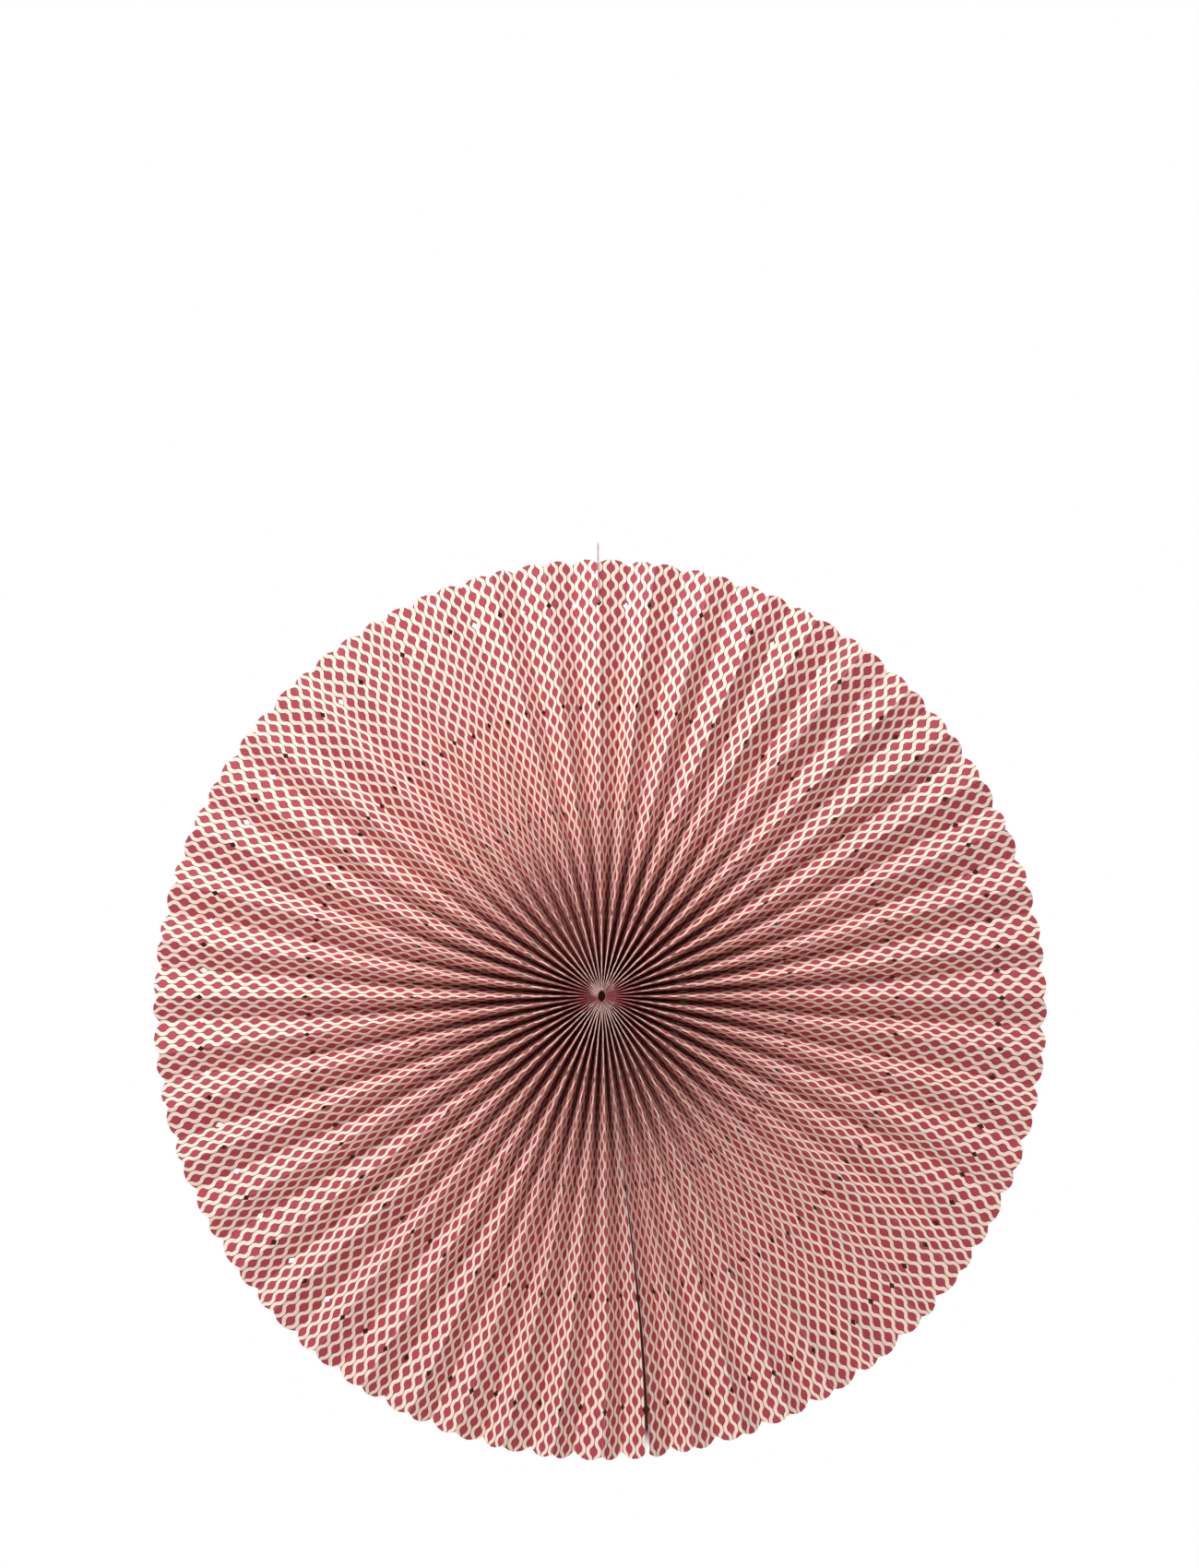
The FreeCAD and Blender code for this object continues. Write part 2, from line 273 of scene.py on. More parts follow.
def row_radii():
    """Radii of the rows of corners, from the hub to the rim; holes have rows of their own."""
    radii = {HUB_RADIUS, *HUB_ROWS, DIMPLE_RADIUS, RIM_RADIUS}
    for share in (-1, -0.5, 0, 0.5, 1):
        radii.add(GATHER_RADIUS + share * GATHER_NOTCH_HALF_LENGTH)
        radii.update(ring + share * HOLE_HALF_LENGTH for ring in HOLE_RINGS)
    for start, end in zip((DIMPLE_RADIUS,) + HOLE_RINGS, HOLE_RINGS + (RIM_RADIUS,)):
        start += 0 if start == DIMPLE_RADIUS else HOLE_HALF_LENGTH
        end -= 0 if end == RIM_RADIUS else HOLE_HALF_LENGTH
        count = max(2, round((end - start) / ROW_SPACING))
        radii.update(start + (end - start) * step / count for step in range(1, count))
    return np.array(sorted(radii))


ROWS = row_radii()
SCALLOP_START = 280.0            # outside this the rows bend to follow the scallops
OVAL_ACROSS = 2.6                # the hub's hole is an upright oval
OVAL_UP = 3.8


def notch_inset(fold):
    """How far the cut of each hole reaches from a fold, row by row."""
    inset = np.zeros_like(ROWS)
    for ring in HOLE_RINGS:
        inset += HOLE_HALF_WIDTH * np.clip(1 - np.abs(ROWS - ring) / HOLE_HALF_LENGTH, 0, 1)
    if fold % 2 == 1:
        share = 1 - np.abs(ROWS - GATHER_RADIUS) / GATHER_NOTCH_HALF_LENGTH
        inset += GATHER_NOTCH_DEPTH * np.clip(share, 0, 1)
    return np.where(inset > 1e-6, inset, 0.0)


EDGE_STEPS = np.array([0.0, 0.07, 0.15])             # corners round a fold
MIDDLE_STEPS = np.array([0.06, 0.28, 0.5, 0.72, 0.94])   # shares of the width between


def panel_columns(start, end):
    """Distances across the panel from its first fold, for each row."""
    start, end = start[:, None], end[:, None]
    width = end - start
    return np.concatenate(
        [start + EDGE_STEPS, start + MIDDLE_STEPS * width, end - EDGE_STEPS[::-1]], axis=1
    )


def bent_radii(panel, along):
    """Radius of each corner, with the rim's scallops and the hub's oval."""
    share = along / PANEL_WIDTH
    half = PANEL_WIDTH / 2
    arc_radius = (half ** 2 + SCALLOP_DEPTH ** 2) / (2 * SCALLOP_DEPTH)
    off = (share - 0.5) * PANEL_WIDTH
    tip = FAN_RADIUS - arc_radius + np.sqrt(arc_radius ** 2 - off ** 2)
    rows = ROWS[:, None]
    outwards = np.clip((rows - SCALLOP_START) / (RIM_RADIUS - SCALLOP_START), 0, 1)
    radius = rows + (tip - RIM_RADIUS) * outwards
    first, last = fold_bearing(panel, HUB_RADIUS), fold_bearing(panel + 1, HUB_RADIUS)
    turn = first * (1 - share) + last * share
    oval = 1 / np.hypot(np.sin(turn) / OVAL_ACROSS, np.cos(turn) / OVAL_UP)
    inwards = np.clip((DIMPLE_RADIUS - rows) / (DIMPLE_RADIUS - HUB_RADIUS), 0, 1)
    return radius - (HUB_RADIUS - oval) * inwards


SHARP_FOLD = 50.0                # degrees above which an edge is drawn sharp


class Sheet:
    """Front and back corners of a folded sheet, its faces and its flat-paper map."""

    def __init__(self):
        self.front = []
        self.back = []
        self.flat = []
        self.faces = []
        self.count = 0

    def add_patch(self, panel, along, radius, lift, joined=None):
        """A patch of a panel. joined gives the corners that its first column shares, or -1."""
        rows, columns = along.shape
        corners = np.arange(rows * columns).reshape(rows, columns) + self.count
        if joined is not None:
            corners[:, 0] = np.where(joined >= 0, joined, corners[:, 0])
        self.front.append(panel_surface(panel, along, radius, False, lift).reshape(-1, 3))
        self.back.append(panel_surface(panel, along, radius, True, lift).reshape(-1, 3))
        self.flat.append(np.stack([panel * PANEL_WIDTH + along, radius], axis=-1).reshape(-1, 2))
        self.count += rows * columns
        near, far = corners[:-1, :-1], corners[1:, 1:]
        self.faces.append(np.stack([near, corners[:-1, 1:], far], axis=-1).reshape(-1, 3))
        self.faces.append(np.stack([near, far, corners[1:, :-1]], axis=-1).reshape(-1, 3))
        return corners[:, -1]

    def mesh(self, name):
        front, back = np.concatenate(self.front), np.concatenate(self.back)
        faces = np.concatenate(self.faces)
        edges = np.concatenate([faces[:, [k, (k + 1) % 3]] for k in range(3)])
        known = {(int(a), int(b)) for a, b in edges}
        rim = np.array([(a, b) for a, b in sorted(known) if (b, a) not in known])
        start, end = rim[:, 0], rim[:, 1]
        walls = np.concatenate([
            np.stack([end, start, start + self.count], axis=-1),
            np.stack([end, start + self.count, end + self.count], axis=-1),
        ])
        everything = np.concatenate([faces, faces[:, ::-1] + self.count, walls])
        points = np.concatenate([front, back]) * MM
        used = np.unique(everything)
        place = np.full(len(points), -1)
        place[used] = np.arange(len(used))
        mesh = bpy.data.meshes.new(name)
        mesh.from_pydata(points[used].tolist(), [], place[everything].tolist())
        flat = np.concatenate(self.flat * 2)
        layer = mesh.uv_layers.new(name="flat_paper")
        layer.uv.foreach_set("vector", (flat[everything.ravel()] * MM).astype(np.float32).ravel())
        slots = np.repeat([0, 1, 1], [len(faces), len(faces), len(walls)])
        mesh.polygons.foreach_set("material_index", slots.astype(np.int32))
        mesh.polygons.foreach_set("use_smooth", np.ones(len(everything), dtype=bool))
        mesh.set_sharp_from_angle(angle=math.radians(SHARP_FOLD))
        mesh.validate()
        return mesh


RAW_EDGE = 0.12                  # a raw edge stops this far short of where a fold would bend


def add_panels(sheet, panels, raw_end, lift_of):
    """Panels from a raw edge to a fold, or to another raw edge. Returns the last column's corners."""
    joined = None
    for panel in panels:
        start = notch_inset(panel) + (RAW_EDGE if panel == panels[0] else 0)
        end = PANEL_WIDTH - notch_inset(panel + 1)
        end = end - (RAW_EDGE if panel == panels[-1] and raw_end else 0)
        along = panel_columns(start, end)
        radius = bent_radii(panel, along)
        last = sheet.add_patch(panel, along, radius, lift_of(panel, along, radius), joined)
        joined = np.where(notch_inset(panel + 1) == 0, last, -1)
    return joined


def no_lift(panel, along, radius):
    return 0.0


LAP_LIFT = 0.125                 # the short sheet's first panel lies on the glue tab
LAP_RISE = 8.0                   # radius over which it rises onto the tab
LAP_MARGIN = 1.0                 # its fall starts and ends this far from the tab and the fold


def lap_lift(panel, along, radius):
    if panel != LONG_PANELS:
        return 0.0
    fading = 1 - smooth_step(LAP_WIDTH + LAP_MARGIN, PANEL_WIDTH - LAP_MARGIN, along)
    return LAP_LIFT * fading * smooth_step(LAP_START - LAP_RISE, LAP_START, radius)


def long_sheet():
    sheet = Sheet()
    joined = add_panels(sheet, range(LONG_PANELS), False, no_lift)
    rows = ROWS >= LAP_START - 1e-6
    start = notch_inset(LONG_PANELS)[rows]
    end = np.full_like(start, LAP_WIDTH)
    along = panel_columns(start, end)
    radius = np.minimum(ROWS[rows][:, None] + 0 * along, RIM_RADIUS)
    sheet.add_patch(LONG_PANELS, along, radius, 0.0, np.where(start == 0, joined[rows], -1))
    return sheet.mesh("long_sheet")


def short_sheet():
    sheet = Sheet()
    add_panels(sheet, range(LONG_PANELS, PANEL_COUNT), True, lap_lift)
    return sheet.mesh("short_sheet")


# Materials

def srgb(red, green, blue):
    """Colour of 0 to 255 numbers as the shader takes it."""
    def linear(value):
        value /= 255
        return value / 12.92 if value <= 0.04045 else ((value + 0.055) / 1.055) ** 2.4
    return linear(red), linear(green), linear(blue), 1.0


# Print, in millimetres
COLUMN_PITCH = 5.6               # one ribbon of the print to the next
ROW_PITCH = 12.2                 # one lozenge to the next along a column
ROW_PHASE = 2.53
RIBBON_WIDTH = 2.5
RIBBON_SWING = 1.35
SQUARENESS = 0.07                # the ribbons run straighter beside each other than a sine
EDGE_WOBBLE = 0.08               # how far the printed edges wander
EDGE_BLUR = 0.05
LOZENGE_EDGE = (0.1, 0.6)        # the dark edge of a lozenge, out from the ribbon
HAIRLINE_GAP = (0.8, 1.5)        # gaps of two ribbons that show a hairline, and a full lozenge
SHORT_PRINT_SHIFT = (2.9, 1.7)   # the print on the short sheet starts at another place

CREAM = srgb(255, 236, 222)
DULL_CREAM = srgb(244, 224, 208)
ROSE = srgb(177, 69, 84)
PALE_ROSE = srgb(200, 91, 107)
DEEP_ROSE = srgb(159, 56, 67)
DARK_ROSE = srgb(120, 33, 36)    # edge of each lozenge
HAIRLINE = srgb(116, 94, 76)     # between two ribbons where they nearly touch

# Round the hub, in millimetres: painted shade in the valleys and wear with a painted highlight on the
# ridges, both mostly above and below it, rubbed ink beside it and a painted highlight by its hole
CROWDED_RADIUS = 30.0            # wear, painted highlight and painted shade keep closer to the ridges inside this
UPRIGHT = (0.3, 0.8)             # height over radius, from beside the hub to above or below it
# painted shade away from the ridges near the hub; the wear fades over the same radii
PAINTED_SHADE_AND_WEAR_FADES = (15.0, 120.0)
PAINTED_SHADE_FROM_RIDGE = (0.8, 6.0)
PAINTED_SHADE = srgb(190, 54, 50)
# painted shade, deepest at the bottoms of the valleys
PAINTED_VALLEY_SHADE_FADES = (60.0, 130.0)
PAINTED_VALLEY_SHADE_FROM_RIDGE = (11.0, 19.0)
PAINTED_VALLEY_SHADE = srgb(135, 50, 46)
# ridges lighter, partly by wear and partly by a painted highlight
WEAR_AND_HIGHLIGHT_FROM_RIDGE = (0.25, 0.75)
WEAR_AND_HIGHLIGHT_PATCHES = (0.25, 0.5)
WORN_AND_HIGHLIGHT = srgb(255, 220, 211)
RUBBED_FADES = (10.0, 45.0)
RUBBED = srgb(150, 52, 62)
HUB_HIGHLIGHT_PLACE = (-0.0035, -0.006, 0.005)   # painted highlight by the hub's hole, in metres
HUB_HIGHLIGHT_FADES = (0.003, 0.007)
HUB_HIGHLIGHT = srgb(255, 234, 226)


class Maths:
    """Builds chains of math nodes, so that a material reads as formulas."""

    def __init__(self, owner):
        self.nodes = owner.node_tree.nodes
        self.link = owner.node_tree.links.new

    def node(self, kind, **settings):
        node = self.nodes.new(kind)
        for name, value in settings.items():
            setattr(node, name, value)
        return node

    def feed(self, socket, value):
        if isinstance(value, bpy.types.NodeSocket):
            self.link(value, socket)
        else:
            socket.default_value = value

    def math(self, operation, *values):
        node = self.node("ShaderNodeMath", operation=operation)
        for socket, value in zip(node.inputs, values):
            self.feed(socket, value)
        return node.outputs[0]

    def times(self, first, second):
        return self.math("MULTIPLY", first, second)

    def scaled(self, value, factor, offset):
        return self.math("MULTIPLY_ADD", value, factor, offset)

    def ramp(self, value, low, high):
        """0 below low, 1 above high, smooth between."""
        node = self.node("ShaderNodeMapRange", interpolation_type="SMOOTHSTEP")
        self.feed(node.inputs["Value"], value)
        node.inputs["From Min"].default_value = low
        node.inputs["From Max"].default_value = high
        return node.outputs["Result"]

    def fade(self, value, low, high):
        """1 below low, 0 above high, smooth between."""
        return self.math("SUBTRACT", 1.0, self.ramp(value, low, high))

    def mix(self, share, first, second, blend="MIX"):
        node = self.node("ShaderNodeMix", data_type="RGBA", blend_type=blend)
        self.feed(node.inputs[0], share)
        self.feed(node.inputs[6], first)
        self.feed(node.inputs[7], second)
        return node.outputs[2]

    def mix_shader(self, share, first, second):
        node = self.node("ShaderNodeMixShader")
        self.link(share, node.inputs[0])
        self.link(first, node.inputs[1])
        self.link(second, node.inputs[2])
        return node.outputs[0]

    def noise(self, vector, scale, detail=2.0, roughness=0.5):
        node = self.node("ShaderNodeTexNoise")
        node.inputs["Scale"].default_value = scale
        node.inputs["Detail"].default_value = detail
        node.inputs["Roughness"].default_value = roughness
        self.link(vector, node.inputs["Vector"])
        return node.outputs["Fac"]

    def split(self, vector):
        node = self.node("ShaderNodeSeparateXYZ")
        self.link(vector, node.inputs[0])
        return node.outputs

    def object_place(self):
        return self.node("ShaderNodeTexCoord").outputs["Object"]

    def flat_paper(self):
        return self.node("ShaderNodeUVMap", uv_map="flat_paper").outputs["UV"]

    def roughen(self, shader, height, strength, distance):
        bump = self.node("ShaderNodeBump")
        bump.inputs["Strength"].default_value = strength
        bump.inputs["Distance"].default_value = distance
        self.link(height, bump.inputs["Height"])
        self.link(bump.outputs["Normal"], shader.inputs["Normal"])

    def white(self):
        """Light of strength 1, which shows as white."""
        emission = self.node("ShaderNodeEmission")
        emission.inputs["Color"].default_value = (1, 1, 1, 1)
        emission.inputs["Strength"].default_value = 1.0
        return emission.outputs[0]

    def seen_directly(self):
        """1 for rays of the camera, gloss and glass, which all see the white background."""
        path = self.node("ShaderNodeLightPath")
        seen = self.math("MAXIMUM", path.outputs["Is Camera Ray"], path.outputs["Is Glossy Ray"])
        return self.math("MAXIMUM", seen, path.outputs["Is Transmission Ray"])


def new_material(name):
    material = bpy.data.materials.new(name)
    material.use_nodes = True
    return material, Maths(material), material.node_tree.nodes["Principled BSDF"]


def lozenge_net(m, uv, strip_mm, radius_mm, shift):
    """Cream ribbons that swing to and fro, with a rose lozenge wherever two part."""
    strip = m.scaled(strip_mm, 1 / COLUMN_PITCH, shift[0] / COLUMN_PITCH)
    turn_per_mm = 2 * math.pi / ROW_PITCH
    turn = m.scaled(radius_mm, turn_per_mm, ROW_PHASE + shift[1] * turn_per_mm)

    triple = m.times(turn, 3.0)
    full_swing = RIBBON_SWING / (1 - SQUARENESS)
    swing = m.scaled(m.math("COSINE", triple), -SQUARENESS, m.math("COSINE", turn))
    swing = m.times(swing, full_swing / COLUMN_PITCH)
    slope = m.scaled(m.math("SINE", triple), -3 * SQUARENESS, m.math("SINE", turn))
    slope = m.times(slope, full_swing * turn_per_mm)
    lean = m.math("SQRT", m.scaled(slope, slope, 1.0))

    column = m.math("FLOOR", strip)
    swing = m.times(swing, m.math("COSINE", m.times(column, math.pi)))
    inside = m.math("SUBTRACT", strip, column)
    left = m.math("ABSOLUTE", m.math("SUBTRACT", inside, swing))
    right = m.math("ABSOLUTE", m.math("ADD", m.math("SUBTRACT", inside, 1.0), swing))
    nearest = m.times(m.math("MINIMUM", left, right), COLUMN_PITCH)
    nearest = m.math("DIVIDE", nearest, lean)
    wobble = m.noise(uv, 300.0, 2.0)
    nearest = m.math("ADD", nearest, m.scaled(wobble, 2 * EDGE_WOBBLE, -EDGE_WOBBLE))
    edge = RIBBON_WIDTH / 2
    off_ribbon = m.ramp(nearest, edge - EDGE_BLUR, edge + EDGE_BLUR)
    inner = m.ramp(nearest, edge + LOZENGE_EDGE[0], edge + LOZENGE_EDGE[1])
    gap = m.scaled(swing, -2 * COLUMN_PITCH, COLUMN_PITCH - RIBBON_WIDTH)
    opened = m.ramp(gap, *HAIRLINE_GAP)

    mottle = m.noise(uv, 900.0, 3.0, 0.6)
    cloud = m.noise(uv, 45.0, 2.0)
    ink = m.mix(m.times(mottle, 0.4), ROSE, PALE_ROSE)
    ink = m.mix(m.times(cloud, 0.4), ink, DEEP_ROSE)
    ink = m.mix(inner, DARK_ROSE, ink)
    ground = m.mix(m.times(mottle, 0.25), CREAM, DULL_CREAM)
    return m.mix(off_ribbon, ground, m.mix(opened, HAIRLINE, ink)), mottle


def wear_and_painted_light(m, colour, uv, strip_mm, radius_mm):
    """Round the hub: ridges lighter by wear and a painted highlight, valleys darker by painted shade,
    rubbed ink, and a painted highlight by the hole.
    """
    place = m.object_place()
    height_mm = m.times(m.math("ABSOLUTE", m.split(place)["Z"]), 1 / MM)
    upright = m.ramp(m.math("DIVIDE", height_mm, radius_mm), *UPRIGHT)
    beyond = m.math("FLOORED_MODULO", m.math("ADD", strip_mm, PANEL_WIDTH), 2 * PANEL_WIDTH)
    from_ridge = m.math("ABSOLUTE", m.math("SUBTRACT", beyond, PANEL_WIDTH))
    crowded = m.math("MINIMUM", m.times(radius_mm, 1 / CROWDED_RADIUS), 1.0)
    from_ridge = m.math("DIVIDE", from_ridge, crowded)
    near_hub = m.fade(radius_mm, *PAINTED_SHADE_AND_WEAR_FADES)

    # Painted shade: darker away from the ridges near the hub, more above and below it
    painted_shade = m.times(m.ramp(from_ridge, *PAINTED_SHADE_FROM_RIDGE), near_hub)
    painted_shade = m.times(painted_shade, m.scaled(upright, 0.5, 0.5))
    colour = m.mix(m.times(painted_shade, 0.7), colour, PAINTED_SHADE, "MULTIPLY")
    # Painted shade at the bottoms of the valleys, out to the middle radii
    valley = m.times(m.ramp(from_ridge, *PAINTED_VALLEY_SHADE_FROM_RIDGE), m.fade(radius_mm, *PAINTED_VALLEY_SHADE_FADES))
    colour = m.mix(m.times(valley, 0.75), colour, PAINTED_VALLEY_SHADE, "MULTIPLY")

    # Ridges lighter: partly wear, partly a painted highlight, more above and below the hub
    wear_and_highlight = m.times(m.fade(from_ridge, *WEAR_AND_HIGHLIGHT_FROM_RIDGE), m.scaled(near_hub, 0.8, 0.1))
    wear_and_highlight = m.times(wear_and_highlight, m.ramp(m.noise(uv, 380.0, 3.0, 0.6), *WEAR_AND_HIGHLIGHT_PATCHES))
    wear_and_highlight = m.times(wear_and_highlight, m.scaled(upright, 0.75, 0.25))
    colour = m.mix(wear_and_highlight, colour, WORN_AND_HIGHLIGHT)
    rubbed = m.times(m.math("SUBTRACT", 1.0, upright), m.fade(radius_mm, *RUBBED_FADES))
    colour = m.mix(m.times(rubbed, 0.8), colour, RUBBED)

    # Painted highlight beside the hub's hole
    from_hub_highlight = m.node("ShaderNodeVectorMath", operation="DISTANCE")
    m.link(place, from_hub_highlight.inputs[0])
    from_hub_highlight.inputs[1].default_value = HUB_HIGHLIGHT_PLACE
    hub_highlight = m.fade(from_hub_highlight.outputs["Value"], *HUB_HIGHLIGHT_FADES)
    return m.mix(m.times(hub_highlight, 0.6), colour, HUB_HIGHLIGHT)


def printed_paper(name, shift):
    """Slightly rough paper with its print, and painted shade and highlights round the hub; shift
    moves the print, in millimetres.
    """
    material, m, shader = new_material(name)
    uv = m.flat_paper()
    flat = m.split(uv)
    strip_mm = m.times(flat["X"], 1 / MM)
    radius_mm = m.times(flat["Y"], 1 / MM)
    colour, mottle = lozenge_net(m, uv, strip_mm, radius_mm, shift)
    m.link(wear_and_painted_light(m, colour, uv, strip_mm, radius_mm), shader.inputs["Base Color"])
    m.link(m.scaled(mottle, 0.2, 0.62), shader.inputs["Roughness"])
    shader.inputs["Specular IOR Level"].default_value = 0.3
    m.roughen(shader, m.noise(uv, 2600.0, 3.0, 0.65), 0.12, 0.0001)
    return material


def plain_paper():
    """The unprinted back and the cut edges."""
    material, m, shader = new_material("plain_paper")
    uv = m.flat_paper()
    fibre = m.noise(uv, 1400.0, 4.0, 0.65)
    cloud = m.noise(uv, 60.0, 2.0)
    ground = m.mix(fibre, srgb(238, 228, 212), srgb(252, 246, 236))
    ground = m.mix(m.times(cloud, 0.5), ground, srgb(244, 226, 214))
    m.link(ground, shader.inputs["Base Color"])
    m.link(m.scaled(fibre, 0.15, 0.72), shader.inputs["Roughness"])
    shader.inputs["Specular IOR Level"].default_value = 0.3
    m.roughen(shader, fibre, 0.2, 0.0001)
    return material


def thread_material(name, light, dark):
    """Twisted thread: fine fibres along the strands."""
    material, m, shader = new_material(name)
    fibre = m.noise(m.object_place(), 6000.0, 3.0, 0.6)
    m.link(m.mix(fibre, light, dark), shader.inputs["Base Color"])
    m.link(m.scaled(fibre, 0.2, 0.55), shader.inputs["Roughness"])
    shader.inputs["Sheen Weight"].default_value = 0.3
    m.roughen(shader, fibre, 0.3, 0.00005)
    return material


# Threads

def hole_corner():
    """Upper corner of the outermost hole on the ridge nearest the top, on the ridge's front."""
    radius = HOLE_RINGS[-1] + HOLE_HALF_LENGTH
    ridge = min(
        range(0, PANEL_COUNT + 1, 2),
        key=lambda fold: abs(float(fold_bearing(fold, FAN_RADIUS)) - 2 * math.pi),
    )
    bearing = math.radians(float(straight_bearing(ridge, radius)))
    front = -fold_depth(ridge, radius) / 2 - PAPER / 2
    return Vector((radius * math.sin(bearing), float(front), radius * math.cos(bearing)))


# Sideways, back and up from the hole's corner, in millimetres: from the knot behind the ridge,
# out through the hole, up the front, over in a loop and down the back
THREAD_ROUTE = [
    (0.0, 3.1, -1.1),
    (0.0, -2.1, -0.7),
    (0.2, -1.1, 7.8),
    (-0.1, -0.1, 21.3),
    (-0.3, 1.0, 32.3),
    (-0.2, 2.2, 38.3),
    (0.0, 6.0, 40.9),
    (0.2, 9.2, 37.5),
    (0.3, 9.6, 31.3),
    (0.1, 9.2, 21.8),
    (-0.1, 8.2, 12.3),
    (-0.1, 6.2, 5.9),
    (0.0, 4.3, 2.3),
    (0.0, 4.3, 0.1),
]
KNOT_CENTRE = (0.0, 4.3, -1.1)


def nurbs_line(points, resolution, closed=False):
    """Points along the smooth NURBS line that these control points draw."""
    data = bpy.data.curves.new("route", "CURVE")
    data.dimensions = "3D"
    spline = data.splines.new("NURBS")
    spline.points.add(len(points) - 1)
    for point, place in zip(spline.points, points):
        point.co = (*place, 1.0)
    spline.order_u = 3
    spline.use_cyclic_u = closed
    spline.use_endpoint_u = not closed
    data.resolution_u = resolution
    route = bpy.data.objects.new("route", data)
    mesh = bpy.data.meshes.new_from_object(route)
    line = [vertex.co.copy() for vertex in mesh.vertices]
    bpy.data.objects.remove(route)
    bpy.data.meshes.remove(mesh)
    bpy.data.curves.remove(data)
    return line


PLY_SIDES = 8
PLY_RADIUS = 0.3                 # of the thread's diameter
PLY_OFFSET = 0.22                # of the thread's diameter, from its middle to a ply's
TURNS_PER_MM = 0.45
SHARP_THREAD = 60.0              # degrees above which an edge is drawn sharp


def ply_frames(line, closed):
    """Place, two directions across the line and the twist so far, at each point of a line."""
    count = len(line)
    ahead = line[1:] + (line[:1] if closed else line[-1:])
    behind = (line[-1:] if closed else line[:1]) + line[:-1]
    steps = [(after - place).length for place, after in zip(line, ahead)]
    length = sum(steps)
    turns = max(1, round(length / MM * TURNS_PER_MM))
    across = (line[1] - line[0]).orthogonal()
    done = 0.0
    for i in range(count):
        tangent = (ahead[i] - behind[i]).normalized()
        across = (across - tangent * across.dot(tangent)).normalized()
        yield line[i], across, tangent.cross(across), 2 * math.pi * turns * done / length
        done += steps[i]


def twisted_thread(name, line, diameter, material, closed=False):
    """Two plies twisted round a line, as one mesh piece."""
    ply = PLY_RADIUS * diameter
    offset = PLY_OFFSET * diameter
    count = len(line)
    corners, faces = [], []
    for strand in (0, 1):
        first = len(corners)
        for place, across, up, twist in ply_frames(line, closed):
            turn = twist + strand * math.pi
            middle = place + (across * math.cos(turn) + up * math.sin(turn)) * offset
            for k in range(PLY_SIDES):
                angle = turn + 2 * math.pi * k / PLY_SIDES
                corners.append(middle + (across * math.cos(angle) + up * math.sin(angle)) * ply)
        for i in range(count if closed else count - 1):
            here = first + i * PLY_SIDES
            there = first + (i + 1) % count * PLY_SIDES
            for k in range(PLY_SIDES):
                beside = (k + 1) % PLY_SIDES
                faces.append((here + k, here + beside, there + beside, there + k))
        if not closed:
            last = first + (count - 1) * PLY_SIDES
            faces.append(tuple(range(first + PLY_SIDES - 1, first - 1, -1)))
            faces.append(tuple(range(last, last + PLY_SIDES)))
    mesh = bpy.data.meshes.new(name)
    mesh.from_pydata(corners, [], faces)
    mesh.polygons.foreach_set("use_smooth", [True] * len(faces))
    mesh.set_sharp_from_angle(angle=math.radians(SHARP_THREAD))
    mesh.materials.append(material)
    piece = bpy.data.objects.new(name, mesh)
    bpy.context.collection.objects.link(piece)
    return piece


KNOT_THREAD = 0.66               # millimetres of thread for which the knot's sizes are written
KNOT_ACROSS = 0.30
KNOT_UP = 0.26
KNOT_DEEP = 0.50
KNOT_TAILS = (Vector((-1.3, 0.3, -0.6)), Vector((1.2, 0.5, -0.7)))
KNOT_STEPS = 24
FINE_STEPS = 6                   # points of a line from one control point to the next
LOOP_STEPS = 40


def overhand_knot(name, centre, diameter, material):
    """A small overhand knot, drawn tight: a trefoil of thread with two cut tails."""
    scale = diameter / KNOT_THREAD
    points = [centre + KNOT_TAILS[0] * scale]
    for step in range(1, KNOT_STEPS):
        turn = 2 * math.pi * step / KNOT_STEPS
        sideways = KNOT_ACROSS * (math.sin(turn) + 2 * math.sin(2 * turn))
        upwards = KNOT_UP * (math.cos(turn) - 2 * math.cos(2 * turn))
        deep = KNOT_DEEP * math.sin(3 * turn)
        points.append(centre + Vector((sideways, deep, upwards)) * scale)
    points.append(centre + KNOT_TAILS[1] * scale)
    return twisted_thread(name, nurbs_line(points, FINE_STEPS), diameter, material)


def add_hanging_thread(material):
    corner = hole_corner()
    line = nurbs_line([(corner + Vector(offset)) * MM for offset in THREAD_ROUTE], LOOP_STEPS)
    length = sum((after - place).length for place, after in zip(line, line[1:]))
    diameter = THREAD_DIAMETER * MM
    thread = twisted_thread("hanging_loop_thread", line, diameter, material)
    knot_place = (corner + Vector(KNOT_CENTRE)) * MM
    knot = overhand_knot("loop_knot", knot_place, KNOT_THREAD * MM, material)
    for piece, node in ((thread, "hanging_thread"), (knot, "hanging_knot")):
        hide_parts(node)
        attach(piece, "root")
    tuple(line[0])


GATHER_THREAD_WIDTH = 0.6        # millimetres, like the next three
GATHER_THREAD_CLEARANCE = 0.15
GATHER_KNOT_THREAD = 0.5
GATHER_KNOT_BEHIND = 0.6


